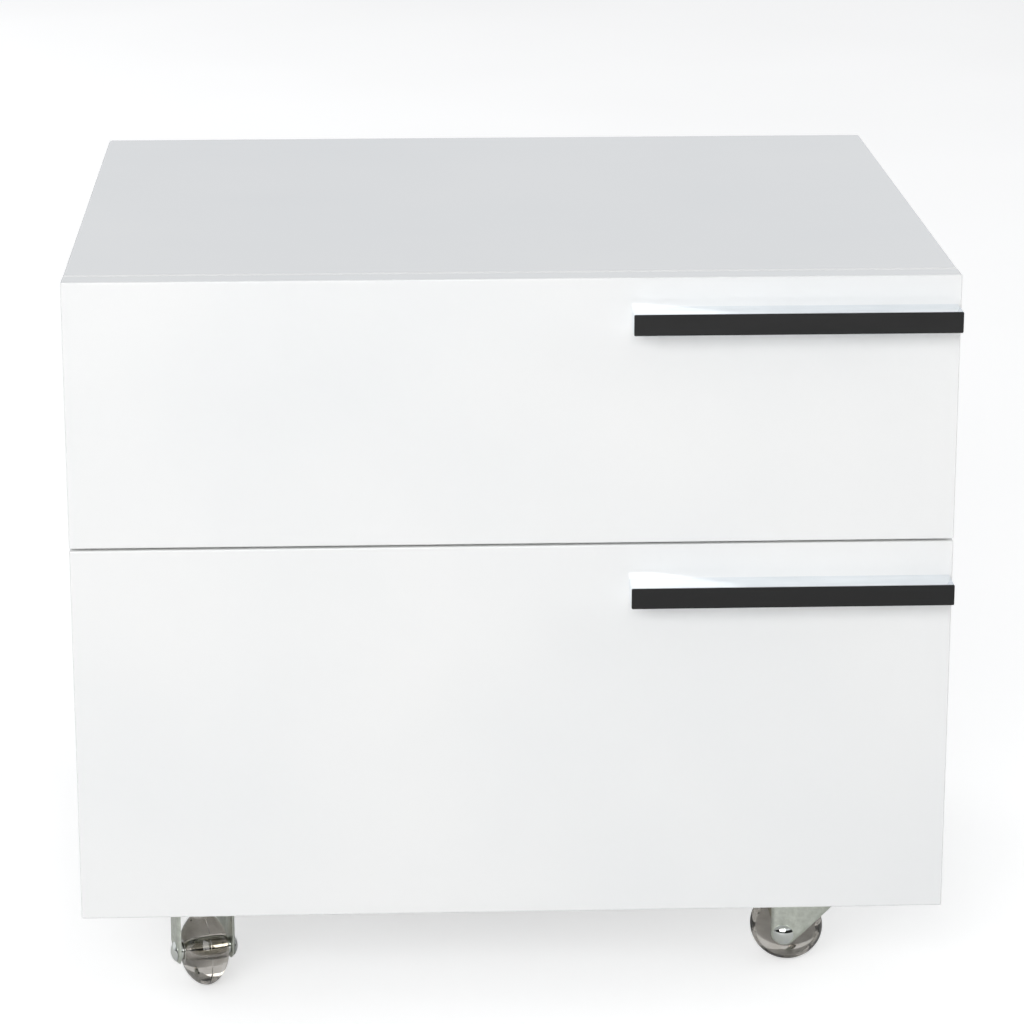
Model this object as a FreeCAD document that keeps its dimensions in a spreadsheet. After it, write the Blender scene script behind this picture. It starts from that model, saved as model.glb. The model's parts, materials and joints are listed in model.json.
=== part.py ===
import FreeCAD, Part
import math
import os
import re
import Sketcher

# A rolling two-drawer pedestal cabinet. Millimetres, +Z up, the drawer fronts face -Y. The origin is
# on the floor, at the middle of the whole cabinet with its handles.

SIZES = (
    ("case_width", 400, "side face to side face"),
    ("case_height", 301, "underside of the case to its top"),
    ("case_depth", 350, "face of the drawer fronts to the rear edge"),
    ("board", 15, "lacquered boards of the case"),
    ("front_board", 12, "drawer fronts"),
    ("back_board", 8, "back panel"),
    ("drawer_board", 12, "sides and backs of the drawers"),
    ("drawer_floor", 5, "bottoms of the drawers"),
    ("edge_radius", 1.5, "softened outer edges of the case"),
    ("front_edge_radius", 0.8, "softened edges of the drawer fronts"),
    ("front_gap", 2, "between a closed drawer front and the case"),
    ("front_seam", 1, "between the two drawer fronts"),
    ("lower_front_height", 177.5, "lower drawer front"),
    ("back_inset", 10, "rear edge of the case to the back panel"),
    ("back_groove", 6, "depth of the back panel's grooves"),
    ("dowel_diameter", 8, "case dowels"),
    ("dowel_length", 25, "case dowels"),
    ("dowel_bite", 10, "case dowels, into the face of a board"),
    ("dowel_margin", 45, "first and last case dowel, from the ends of the joint"),
    ("drawer_dowel_diameter", 6, "drawer dowels"),
    ("drawer_dowel_length", 24, "drawer dowels"),
    ("drawer_dowel_bite", 8, "drawer dowels, into the face of a board"),
    ("drawer_dowel_margin", 24, "drawer dowels, from the top and bottom of the drawer"),
    ("fit", 0.05, "play between a pin or screw and its hole"),
    ("hole_spare", 0.2, "depth left past the end of a dowel or screw"),
    ("drawer_length", 306, "drawer sides"),
    ("upper_drawer_rise", 8, "front's lower edge to the upper drawer's sides"),
    ("lower_drawer_rise", 21, "front's lower edge to the lower drawer's sides"),
    ("drawer_top_drop", 29, "front's upper edge to the drawer's sides"),
    ("floor_rise", 10, "lower edge of a drawer's sides to its floor"),
    ("floor_groove", 5, "depth of the grooves for a drawer's floor"),
    ("pad_diameter", 8, "clear bumper pads"),
    ("pad_play", 0.1, "between a pad and a closed front"),
    ("pad_low", 14, "lower edge of a front to its lower pads"),
    ("pad_high", 34, "upper edge of a front to its upper pads"),
    ("runner_width", 12.7, "side panel to drawer side"),
    ("runner_length", 300, "each of a runner's rails"),
    ("runner_start", 2, "front edge of the case to the runner"),
    ("runner_rise", 40, "lower edge of a drawer's sides to the runner's middle"),
    ("runner_height", 35, "cabinet rail"),
    ("rail_sheet", 1.2, "steel of the rails"),
    ("cabinet_rail_reach", 10, "depth of the cabinet rail"),
    ("middle_rail_start", 3.3, "side panel to the middle rail's web"),
    ("middle_rail_reach", 10.4, "side panel to the middle rail's lips"),
    ("drawer_rail_start", 5.3, "side panel to the drawer rail's lips"),
    ("outer_cage_start", 2.7, "side panel to the outer ball cage"),
    ("inner_cage_start", 4.7, "side panel to the inner ball cage"),
    ("cage_sheet", 0.4, "ball cages"),
    ("cage_lips", 9.6, "side panel to the lips of the ball cages"),
    ("cage_length", 130, "ball cages"),
    ("cage_start", 85, "front end of the rails to the cages, with the drawer closed"),
    ("ball_diameter", 3, "bearing balls of the runners and the casters"),
    ("ball_play", 0.05, "on each side of a ball"),
    ("cage_hole_play", 0.1, "round each ball in its cage"),
    ("cage_ball_margin", 11, "first and last ball, from the ends of a cage"),
    ("ball_line", 7, "side panel to the centres of the runner's balls"),
    ("screw_diameter", 4, "runner and caster screws"),
    ("screw_length", 10, "runner and caster screws, under the head"),
    ("screw_tip", 2, "cone at the end of a screw"),
    ("screw_head_diameter", 7, "runner and caster screws"),
    ("screw_head_height", 1.3, "runner and caster screws"),
    ("rail_screw_margin", 35, "first and last screw, from the ends of a rail"),
    ("handle_length", 146, "left end to right end"),
    ("handle_reach", 16.5, "out from the drawer front, with the black insert"),
    ("handle_height", 9.5, "top to the lip's lower edge"),
    ("handle_end_gap", 1.5, "right end of a handle to the edge of the front"),
    ("upper_handle_drop", 13.3, "top of the upper front to its handle"),
    ("lower_handle_drop", 15.9, "top of the lower front to its handle"),
    ("handle_top", 2.4, "thickness of a handle's top"),
    ("handle_lip", 2.4, "thickness of a handle's lip behind the insert"),
    ("handle_end", 3, "thickness of a handle's ends"),
    ("handle_edge_radius", 0.6, "softened edges of a handle"),
    ("insert_thickness", 0.8, "black insert on the lip"),
    ("insert_edge_radius", 0.25, "softened edges of the insert's face"),
    ("handle_boss", 7.6, "diameter of the screw bosses"),
    ("handle_screw_spacing", 128, "between the two handle screws"),
    ("handle_screw_diameter", 4, "M4"),
    ("handle_screw_head", 8, "diameter of the countersunk head"),
    ("handle_screw_cone", 2, "depth of the countersunk head"),
    ("handle_screw_length", 20, "with its head"),
    ("wheel_diameter", 35, "caster wheels"),
    ("wheel_width", 21, "caster wheels, at the hub"),
    ("wheel_hub", 13.6, "diameter of the flat hub faces"),
    ("wheel_flank", 15.9, "radius of the rounded flanks"),
    ("wheel_tread", 9, "width of the rounded tread"),
    ("wheel_tread_radius", 7.8, "radius across the tread"),
    ("wheel_headroom", 7.3, "top of a wheel to the fork's crown"),
    ("fork_sheet", 1.6, "steel of the forks"),
    ("fork_width", 28, "over both legs"),
    ("fork_tip", 6.2, "radius of a leg's end about the axle"),
    ("fork_brow", 8, "radius of the crown's front corner"),
    ("fork_tail", 12, "swivel axis to the crown's rear edge"),
    ("fork_bend", 2.4, "outer radius of the bend from crown to legs"),
    ("fork_tail_width", 17.5, "over both legs at the crown's rear edge"),
    ("fold_offset", 8.5, "axle to the fold where a leg turns inward"),
    ("fold_radius", 3, "outer radius of that fold"),
    ("axle_diameter", 5, "axle rivets"),
    ("axle_head", 9.8, "diameter of the rivet heads"),
    ("axle_dome", 2.2, "height of the rivet heads"),
    ("sleeve_diameter", 8, "bright sleeve on an axle"),
    ("sleeve_play", 0.1, "sleeve to fork leg"),
    ("wheel_play", 0.15, "sleeve to wheel bore"),
    ("caster_trail", 16, "swivel axis to axle"),
    ("caster_side_inset", 50, "side face of the case to a swivel axis"),
    ("caster_front_inset", 54, "face of the fronts to a swivel axis"),
    ("caster_rear_inset", 54, "rear edge of the case to a swivel axis"),
    ("caster_plate", 2, "thickness of the top plates"),
    ("plate_side", 38, "side of the square top plates"),
    ("plate_corner", 4, "corner radius of the top plates"),
    ("plate_screw_spacing", 28, "between the screws of a top plate"),
    ("race_radius", 8.5, "circle of the swivel bearing's balls"),
    ("race_wall", 1.6, "ring that holds the balls in"),
    ("race_play", 0.4, "ball to ring, and ring to crown"),
    ("kingpin_diameter", 6, "swivel rivets"),
    ("kingpin_head", 11, "diameter of the lower head"),
    ("kingpin_head_height", 2.2, "lower head"),
    ("kingpin_cap", 10, "diameter of the head sunk in the plate"),
    ("kingpin_cap_height", 1, "head sunk in the plate"),
    ("kingpin_play", 0.15, "kingpin to fork"),
)

# How each caster stands: the wheel's direction from the swivel axis, in degrees from +X.
CASTERS = (
    ("front_left", -1, -1, -74),
    ("front_right", 1, -1, 168),
    ("rear_left", -1, 1, 38),
    ("rear_right", 1, 1, 205),
)
SIDES = (("left", -1), ("right", 1))
CASE_DOWELS = 3
RAIL_SCREWS = 3
CAGE_BALLS = 7
SWIVEL_BALLS = 10

# Places that follow from the sizes, as formulas over the sheet's names.
FACE = "(handle_reach / 2 - case_depth / 2)"
REAR = "(handle_reach / 2 + case_depth / 2)"
FRONT_BACK = f"({FACE} + front_board)"
CASE_FRONT = f"({FRONT_BACK} + front_gap)"
EDGE = "(case_width / 2)"
WALL = "(case_width / 2 - board)"
CROWN = "(wheel_diameter + wheel_headroom)"
CROWN_TOP = f"({CROWN} + fork_sheet)"
PLATE_FOOT = f"({CROWN_TOP} + ball_diameter + 2 * ball_play)"
BASE = f"({PLATE_FOOT} + caster_plate)"
TOP = f"({BASE} + case_height)"
CEILING = f"({TOP} - board)"
SEAM = f"({BASE} + lower_front_height)"
DRAWER_EDGE = f"({WALL} - runner_width)"
DRAWER_INNER = f"({DRAWER_EDGE} - drawer_board)"
DRAWER_END = f"({FRONT_BACK} + drawer_length)"
RUNNER_FRONT = f"({CASE_FRONT} + runner_start)"
HANDLE_RIGHT = f"({EDGE} - handle_end_gap)"
HANDLE_LEFT = f"({HANDLE_RIGHT} - handle_length)"
HANDLE_MIDDLE = f"({HANDLE_RIGHT} - handle_length / 2)"
LIP_FACE = f"({FACE} - handle_reach + insert_thickness)"
DRAWER_BACK = f"({DRAWER_END} - drawer_board)"
RAIL_STEP = "(rail_sheet + ball_diameter + 2 * ball_play)"
CABINET_HALF = "(runner_height / 2)"
MIDDLE_HALF = f"({CABINET_HALF} - {RAIL_STEP})"
DRAWER_HALF = f"({MIDDLE_HALF} - {RAIL_STEP})"
CAGE_FRONT = f"({RUNNER_FRONT} + cage_start)"
AXLE_Z = "(wheel_diameter / 2)"
LEG_INSIDE = "(fork_width / 2 - fork_sheet)"

# Each drawer: name, lower and upper edge of its front, rise of its sides, drop of its handle.
DRAWERS = (
    ("upper", f"({SEAM} + front_seam)", TOP, "upper_drawer_rise", "upper_handle_drop"),
    ("lower", BASE, SEAM, "lower_drawer_rise", "lower_handle_drop"),
)

# For each sketch axis: the origin plane of a body, and the sign of its normal along that axis.
PLANES = {"x": ("YZ_Plane", 1), "y": ("XZ_Plane", -1), "z": ("XY_Plane", 1)}
WORD = re.compile(r"[a-z]\w*")
FUNCTIONS = {"sqrt"}

doc = FreeCAD.newDocument("pedestal_cabinet")
sheet = doc.addObject("Spreadsheet::Sheet", "sizes")
nodes = []


def fill_sheet():
    """Writes every driving size to the spreadsheet, with its name as the alias."""
    for row, (name, number, meaning) in enumerate(SIZES, 1):
        sheet.set(f"A{row}", name)
        sheet.set(f"B{row}", str(number))
        sheet.set(f"C{row}", meaning)
        sheet.setAlias(f"B{row}", name)
    doc.recompute()


def formula(text):
    """A formula over the sheet's names, as an expression that any object can hold."""
    return WORD.sub(lambda found: found[0] if found[0] in FUNCTIONS else "sizes." + found[0], str(text))


def value(text):
    return float(sheet.evalExpression(formula(text)))


def bind(item, name, text):
    item.setExpression(name, formula(text))


def place(item, x=0, y=0, z=0, turn=0):
    """Puts an object at x, y, z, turned about +Z by a number of degrees."""
    item.Placement = FreeCAD.Placement(FreeCAD.Vector(), FreeCAD.Rotation(FreeCAD.Vector(0, 0, 1), turn))
    for name, text in (("x", x), ("y", y), ("z", z)):
        bind(item, f"Placement.Base.{name}", text)


def node(item):
    """Marks an object as a piece to write out."""
    nodes.append(item)
    return item


def body(label):
    item = doc.addObject("PartDesign::Body", label)
    item.Label = label
    return item


def add_edge(sketch, start, end):
    """Draws a line, or an arc where start holds a radius too, and ties its start to the sheet."""
    here, there = (FreeCAD.Vector(value(p[0]), value(p[1]), 0) for p in (start, end))
    if len(start) == 2:
        number = sketch.addGeometry(Part.LineSegment(here, there), False)
    else:
        radius, chord = value(start[2]), there - here
        to_centre = math.sqrt(max(radius**2 - chord.Length**2 / 4, 0)) / chord.Length
        centre = (here + there) / 2 + FreeCAD.Vector(-chord.y, chord.x, 0) * to_centre
        angles = [math.atan2(p.y - centre.y, p.x - centre.x) for p in (here, there)]
        circle = Part.Circle(centre, FreeCAD.Vector(0, 0, 1), radius)
        number = sketch.addGeometry(Part.ArcOfCircle(circle, *angles), False)
        limit = sketch.addConstraint(Sketcher.Constraint("Radius", number, radius))
        bind(sketch, f"Constraints[{limit}]", start[2])
    for kind, text, now in (("DistanceX", start[0], here.x), ("DistanceY", start[1], here.y)):
        limit = sketch.addConstraint(Sketcher.Constraint(kind, -1, 1, number, 1, now))
        bind(sketch, f"Constraints[{limit}]", text)
    return number


def add_outline(sketch, points):
    """Draws a closed outline through points given as formulas. It runs anticlockwise where it has an
    arc: a third entry at a point is the radius of the outward arc from there to the next point."""
    edges = [add_edge(sketch, a, b) for a, b in zip(points, points[1:] + points[:1])]
    for first, second in zip(edges, edges[1:] + edges[:1]):
        sketch.addConstraint(Sketcher.Constraint("Coincident", first, 2, second, 1))


def add_circle(sketch, u, v, diameter):
    centre = FreeCAD.Vector(value(u), value(v), 0)
    circle = Part.Circle(centre, FreeCAD.Vector(0, 0, 1), value(diameter) / 2)
    number = sketch.addGeometry(circle, False)
    for kind, text, now in (("DistanceX", u, centre.x), ("DistanceY", v, centre.y)):
        limit = sketch.addConstraint(Sketcher.Constraint(kind, -1, 1, number, 3, now))
        bind(sketch, f"Constraints[{limit}]", text)
    limit = sketch.addConstraint(Sketcher.Constraint("Diameter", number, value(diameter)))
    bind(sketch, f"Constraints[{limit}]", diameter)


def draw(owner, axis, level, outlines=(), circles=()):
    """A sketch square to an axis at a level along it. Its points are (y, z) for the x axis, (x, z)
    for the y axis and (x, y) for the z axis."""
    role, sign = PLANES[axis]
    sketch = owner.newObject("Sketcher::SketchObject", f"{owner.Label}_sketch")
    sketch.AttachmentSupport = [(next(f for f in owner.Origin.OriginFeatures if f.Role == role), "")]
    sketch.MapMode = "FlatFace"
    bind(sketch, "AttachmentOffset.Base.z", f"{sign} * ({level})")
    for points in outlines:
        add_outline(sketch, list(points))
    for circle in circles:
        add_circle(sketch, *circle)
    return sketch


def extrude(owner, kind, axis, low, high, outlines=(), circles=()):
    """Pads or pockets a sketch from low to high along an axis. A pocket runs the same way as a pad."""
    sign = PLANES[axis][1]
    feature = owner.newObject(f"PartDesign::{kind}", f"{owner.Label}_{kind.lower()}")
    feature.Profile = draw(owner, axis, low if sign > 0 else high, outlines, circles)
    feature.Reversed = kind == "Pocket"
    bind(feature, "Length", f"({high}) - ({low})")
    return feature


def pad(owner, axis, low, high, outlines=(), circles=()):
    return extrude(owner, "Pad", axis, low, high, outlines, circles)


def pocket(owner, axis, low, high, outlines=(), circles=()):
    """Cuts a pocket and makes sure that it took material away."""
    before = volume_now(owner)
    feature = extrude(owner, "Pocket", axis, low, high, outlines, circles)
    doc.recompute()
    if feature.Shape.Volume > before - 1e-3:
        raise ValueError(f"{owner.Label}: a pocket along {axis} cuts nothing")
    return feature


def volume_now(owner):
    doc.recompute()
    return owner.Tip.Shape.Volume


def spin(owner, axis, at, points):
    """Turns an outline about an axis that runs along y or z through a point of the body. The
    outline's points are (distance from the axis, place along it)."""
    sketch = draw(owner, *(("z", at[2]) if axis == "y" else ("y", at[1])), [points])
    bind(sketch, "AttachmentOffset.Base.x", at[0])
    bind(sketch, "AttachmentOffset.Base.y", at[1] if axis == "y" else at[2])
    feature = owner.newObject("PartDesign::Revolution", f"{owner.Label}_revolution")
    feature.Profile = sketch
    feature.ReferenceAxis = (sketch, ["V_Axis"])
    feature.Angle = 360
    return feature


def dress(owner, kind, size, chosen):
    """A Fillet or Chamfer of the edges whose middle point and run pass the test chosen. The run is a
    straight edge's direction, and None for a curved edge."""
    doc.recompute()
    base = owner.Tip
    names = []
    for number, edge in enumerate(base.Shape.Edges, 1):
        if edge.Degenerated:
            continue
        first, last = edge.FirstParameter, edge.LastParameter
        run = edge.tangentAt(first)
        straight = len(edge.Vertexes) == 2 and (run - edge.tangentAt(last)).Length < 1e-6
        if chosen(edge.valueAt((first + last) / 2), run if straight else None):
            names.append(f"Edge{number}")
    if not names:
        raise ValueError(f"{owner.Label}: no edge for the {kind.lower()}")
    feature = owner.newObject(f"PartDesign::{kind}", f"{owner.Label}_{kind.lower()}")
    feature.Base = (base, names)
    bind(feature, "Radius" if kind == "Fillet" else "Size", size)
    return feature


def near(number, text):
    """Whether a coordinate lies at a formula's value, on either side of the middle."""
    return abs(abs(number) - abs(value(text))) < 1e-4


def along(run, axis):
    return run is not None and abs(getattr(run, axis)) > 0.999


def rectangle(u0, u1, v0, v1):
    return ((u0, v0), (u1, v0), (u1, v1), (u0, v1))


def mirrored(side, text):
    """A formula for a place along x on one side of the cabinet, given for the right side."""
    return f"{side} * ({text})"


def span(side, low, high):
    """A stretch along x on one side of the cabinet, given for the right side."""
    return (low, high) if side > 0 else (mirrored(side, high), mirrored(side, low))


def spread(low, high, count):
    """Evenly spaced places from low to high, both included."""
    return [f"({low} + {i} / {count - 1} * ({high} - {low}))" for i in range(count)]


def group(label, items):
    """One node that holds several separate solids."""
    item = doc.addObject("Part::Compound", label)
    item.Label = label
    item.Links = items
    return node(item)


def copies(label, master, places):
    """Copies of a master solid. A place is (x, y, z) and the direction that its own +Z points to."""
    doc.recompute()
    solids = []
    for (x, y, z), direction in places:
        turn = FreeCAD.Rotation(FreeCAD.Vector(0, 0, 1), FreeCAD.Vector(*direction))
        solid = master.Shape.copy()
        solid.Placement = FreeCAD.Placement(FreeCAD.Vector(value(x), value(y), value(z)), turn)
        solids.append(solid)
    item = doc.addObject("Part::Feature", label)
    item.Label = label
    item.Shape = Part.makeCompound(solids)
    return item


def make_masters():
    """The small solids that are used many times. Each points along +Z from its own origin."""
    ball = doc.addObject("Part::Sphere", "ball")
    bind(ball, "Radius", "ball_diameter / 2")

    screw = body("screw")
    head, under = "screw_head_diameter / 2", "-1 * screw_head_height"
    shank, tip, end = "screw_diameter / 2", "screw_length - screw_tip", "screw_length"
    spin(screw, "z", (0, 0, 0), ((0, under), (head, under), (head, 0), (shank, 0), (shank, tip), (0, end)))

    handle_screw = body("handle_screw")
    head, cone = "handle_screw_head / 2", "handle_screw_cone"
    shank, end = "handle_screw_diameter / 2", "handle_screw_length"
    spin(handle_screw, "z", (0, 0, 0), ((0, 0), (head, 0), (shank, cone), (shank, end), (0, end)))

    masters = {"ball": ball, "screw": screw, "handle_screw": handle_screw, "kingpin": make_kingpin()}
    for name, diameter, length in (
        ("dowel", "dowel_diameter", "dowel_length"),
        ("drawer_dowel", "drawer_dowel_diameter", "drawer_dowel_length"),
        ("bumper", "pad_diameter", "front_gap - pad_play"),
    ):
        masters[name] = doc.addObject("Part::Cylinder", name)
        bind(masters[name], "Radius", f"{diameter} / 2")
        bind(masters[name], "Height", length)
    return masters


def make_kingpin():
    """The rivet that holds a fork under its plate: a cap sunk in the plate and a lower head."""
    kingpin = body("kingpin")
    head, pin, cap = "kingpin_head / 2", "kingpin_diameter / 2", "kingpin_cap / 2"
    head_top = f"({CROWN} - kingpin_play)"
    head_foot = f"({head_top} - kingpin_head_height)"
    cap_foot = f"({BASE} - kingpin_cap_height)"
    outline = ((0, head_foot), (head, head_foot), (head, head_top), (pin, head_top))
    outline += ((pin, cap_foot), (cap, cap_foot), (cap, BASE), (0, BASE))
    spin(kingpin, "z", (0, 0, 0), outline)
    return kingpin


def case_dowel_rows():
    return spread(f"({CASE_FRONT} + dowel_margin)", f"({REAR} - dowel_margin)", CASE_DOWELS)


def rail_screw_rows():
    last = f"({RUNNER_FRONT} + runner_length - rail_screw_margin)"
    return spread(f"({RUNNER_FRONT} + rail_screw_margin)", last, RAIL_SCREWS)


def drawer_levels(drawer):
    """Lower edge, upper edge, floor underside and runner middle of a drawer's box."""
    name, low, high, rise, drop = drawer
    foot = f"({low} + {rise})"
    return foot, f"({high} - drawer_top_drop)", f"({foot} + floor_rise)", f"({foot} + runner_rise)"


def swivel(side, end):
    """Where a caster's swivel axis stands."""
    y = f"({FACE} + caster_front_inset)" if end < 0 else f"({REAR} - caster_rear_inset)"
    return mirrored(side, f"{EDGE} - caster_side_inset"), y


def plate_screws():
    """The screws of a caster plate, from its middle."""
    half = "(plate_screw_spacing / 2)"
    return [(f"{i} * {half}", f"{j} * {half}") for i in (-1, 1) for j in (-1, 1)]


def back_panel_slot():
    return f"({REAR} - back_inset - back_board)", f"({REAR} - back_inset)"


def make_top():
    top = node(body("top_panel"))
    pad(top, "z", CEILING, TOP, [rectangle(f"-{EDGE}", EDGE, CASE_FRONT, REAR)])
    dress(top, "Fillet", "edge_radius", lambda at, run: near(at.z, TOP) or along(run, "z"))
    reach = f"({WALL} + back_groove)"
    pocket(top, "z", CEILING, f"{CEILING} + back_groove", [rectangle(f"-{reach}", reach, *back_panel_slot())])
    x, wide = f"({EDGE} - board / 2)", "dowel_diameter + 2 * fit"
    holes = [(mirrored(side, x), y, wide) for _, side in SIDES for y in case_dowel_rows()]
    pocket(top, "z", CEILING, f"{CEILING} + dowel_bite + hole_spare", circles=holes)


def make_side(name, side):
    panel = node(body(f"{name}_side_panel"))
    pad(panel, "x", *span(side, WALL, EDGE), [rectangle(CASE_FRONT, REAR, BASE, CEILING)])
    dress(
        panel, "Fillet", "edge_radius",
        lambda at, run: near(at.x, EDGE) and (along(run, "z") or near(at.z, BASE)),
    )
    slot = back_panel_slot()
    floor = f"({BASE} + board - back_groove)"
    pocket(panel, "x", *span(side, WALL, f"{WALL} + back_groove"), [rectangle(*slot, floor, CEILING)])
    wide, rows = "dowel_diameter + 2 * fit", case_dowel_rows()
    upright = [(mirrored(side, f"{EDGE} - board / 2"), y, wide) for y in rows]
    pocket(panel, "z", f"{CEILING} + dowel_bite - dowel_length - hole_spare", CEILING, circles=upright)
    level = [(y, f"{BASE} + board / 2", wide) for y in rows]
    pocket(panel, "x", *span(side, WALL, f"{WALL} + dowel_bite + hole_spare"), circles=level)
    bored = [(y, drawer_levels(d)[3], "screw_diameter + 2 * fit") for d in DRAWERS for y in rail_screw_rows()]
    pocket(panel, "x", *span(side, WALL, f"{WALL} + screw_length - rail_sheet + hole_spare"), circles=bored)


def make_bottom():
    bottom = node(body("bottom_panel"))
    pad(bottom, "z", BASE, f"{BASE} + board", [rectangle(f"-{WALL}", WALL, CASE_FRONT, REAR)])
    slot = [rectangle(f"-{WALL}", WALL, *back_panel_slot())]
    pocket(bottom, "z", f"{BASE} + board - back_groove", f"{BASE} + board", slot)
    holes = [(y, f"{BASE} + board / 2", "dowel_diameter + 2 * fit") for y in case_dowel_rows()]
    inner = f"{WALL} + dowel_bite - dowel_length - hole_spare"
    for _, side in SIDES:
        pocket(bottom, "x", *span(side, inner, WALL), circles=holes)
    bored = []
    for _, side, end, _ in CASTERS:
        x, y = swivel(side, end)
        bored += [(f"{x} + {u}", f"{y} + {v}", "screw_diameter + 2 * fit") for u, v in plate_screws()]
    pocket(bottom, "z", BASE, f"{BASE} + screw_length - caster_plate + hole_spare", circles=bored)


def make_back():
    back = node(body("back_panel"))
    reach, floor = f"({WALL} + back_groove)", f"({BASE} + board - back_groove)"
    pad(back, "y", *back_panel_slot(), [rectangle(f"-{reach}", reach, floor, f"{CEILING} + back_groove")])


def make_case_fixings(masters):
    """Dowels of the case, clear pads behind the fronts, and the screws of rails and caster plates."""
    dowels, pads, screws = [], [], []
    for _, side in SIDES:
        middle = mirrored(side, f"{EDGE} - board / 2")
        for y in case_dowel_rows():
            dowels.append(((middle, y, f"{CEILING} + dowel_bite - dowel_length"), (0, 0, 1)))
            inner = mirrored(side, f"{WALL} + dowel_bite - dowel_length")
            dowels.append(((inner, y, f"{BASE} + board / 2"), (side, 0, 0)))
        for drawer in DRAWERS:
            for z in (f"{drawer[1]} + pad_low", f"{drawer[2]} - pad_high"):
                pads.append(((middle, CASE_FRONT, z), (0, -1, 0)))
            for y in rail_screw_rows():
                web = mirrored(side, f"{WALL} - rail_sheet")
                screws.append(((web, y, drawer_levels(drawer)[3]), (side, 0, 0)))
    for _, side, end, _ in CASTERS:
        x, y = swivel(side, end)
        screws += [((f"{x} + {u}", f"{y} + {v}", PLATE_FOOT), (0, 0, 1)) for u, v in plate_screws()]
    node(copies("carcass_dowels", masters["dowel"], dowels))
    node(copies("bumper_pads", masters["bumper"], pads))
    node(copies("cabinet_screws", masters["screw"], screws))


def make_drawer(drawer, masters):
    """One drawer: its boards, dowels and floor."""
    name, low, high, _, _ = drawer
    foot, lid, floor, _ = drawer_levels(drawer)
    floor_top = f"({floor} + drawer_floor)"
    floor_reach = f"({DRAWER_INNER} + floor_groove)"
    floor_front, floor_end = f"({FRONT_BACK} - floor_groove)", f"({DRAWER_BACK} + floor_groove)"
    dowel_levels = (f"({foot} + drawer_dowel_margin)", f"({lid} - drawer_dowel_margin)")
    wide, bite = "drawer_dowel_diameter + 2 * fit", "(drawer_dowel_bite + hole_spare)"
    rest = "(drawer_dowel_length - drawer_dowel_bite + hole_spare)"
    middle = f"{DRAWER_INNER} + drawer_board / 2"

    front = node(body(f"{name}_drawer_front"))
    pad(front, "y", FACE, FRONT_BACK, [rectangle(f"-{EDGE}", EDGE, low, high)])
    dress(front, "Fillet", "front_edge_radius", lambda at, run: near(at.y, FACE) or along(run, "y"))
    groove = [rectangle(f"-{floor_reach}", floor_reach, floor, floor_top)]
    pocket(front, "y", floor_front, FRONT_BACK, groove)
    holes = [(mirrored(side, middle), z, wide) for _, side in SIDES for z in dowel_levels]
    pocket(front, "y", f"{FRONT_BACK} - {bite}", FRONT_BACK, circles=holes)
    holes = [(x, z, "handle_screw_diameter + 2 * fit") for x, z in handle_screw_places(drawer)]
    pocket(front, "y", FACE, FRONT_BACK, circles=holes)
    radius = value("handle_screw_diameter / 2 + fit")
    spots = [FreeCAD.Vector(value(x), value(FRONT_BACK), value(z)) for x, z in handle_screw_places(drawer)]
    dress(
        front, "Chamfer", "handle_screw_cone",
        lambda at, run: any(abs((at - spot).Length - radius) < 1e-3 for spot in spots),
    )

    dowels = []
    for side_name, side in SIDES:
        board = node(body(f"{name}_drawer_{side_name}_side"))
        face = rectangle(FRONT_BACK, DRAWER_END, foot, lid)
        pad(board, "x", *span(side, DRAWER_INNER, DRAWER_EDGE), [face])
        groove = [rectangle(FRONT_BACK, floor_end, floor, floor_top)]
        pocket(board, "x", *span(side, DRAWER_INNER, floor_reach), groove)
        holes = [(mirrored(side, middle), z, wide) for z in dowel_levels]
        pocket(board, "y", FRONT_BACK, f"{FRONT_BACK} + {rest}", circles=holes)
        holes = [(f"{DRAWER_END} - drawer_board / 2", z, wide) for z in dowel_levels]
        pocket(board, "x", *span(side, DRAWER_INNER, f"{DRAWER_INNER} + {bite}"), circles=holes)
        holes = [(y, drawer_levels(drawer)[3], "screw_diameter + 2 * fit") for y in rail_screw_rows()]
        inner = f"{DRAWER_EDGE} - screw_length + rail_sheet - hole_spare"
        pocket(board, "x", *span(side, inner, DRAWER_EDGE), circles=holes)
        for z in dowel_levels:
            dowels.append(((mirrored(side, middle), f"{FRONT_BACK} - drawer_dowel_bite", z), (0, 1, 0)))
            outer = mirrored(side, f"{DRAWER_INNER} + drawer_dowel_bite")
            dowels.append(((outer, f"{DRAWER_END} - drawer_board / 2", z), (-side, 0, 0)))
    node(copies(f"{name}_drawer_dowels", masters["drawer_dowel"], dowels))

    back = node(body(f"{name}_drawer_back"))
    pad(back, "y", DRAWER_BACK, DRAWER_END, [rectangle(f"-{DRAWER_INNER}", DRAWER_INNER, foot, lid)])
    groove = [rectangle(f"-{DRAWER_INNER}", DRAWER_INNER, floor, floor_top)]
    pocket(back, "y", DRAWER_BACK, floor_end, groove)
    holes = [(f"{DRAWER_END} - drawer_board / 2", z, wide) for z in dowel_levels]
    for _, side in SIDES:
        pocket(back, "x", *span(side, f"{DRAWER_INNER} - {rest}", DRAWER_INNER), circles=holes)

    bottom = node(body(f"{name}_drawer_bottom"))
    pad(bottom, "z", floor, floor_top, [rectangle(f"-{floor_reach}", floor_reach, floor_front, floor_end)])


def handle_screw_places(drawer):
    """Where a handle's two screws pass through the front, as (x, z)."""
    z = f"({drawer[2]} - {drawer[4]} - handle_height / 2)"
    return [(f"({HANDLE_MIDDLE} + {i} * handle_screw_spacing / 2)", z) for i in (-1, 1)]


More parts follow.
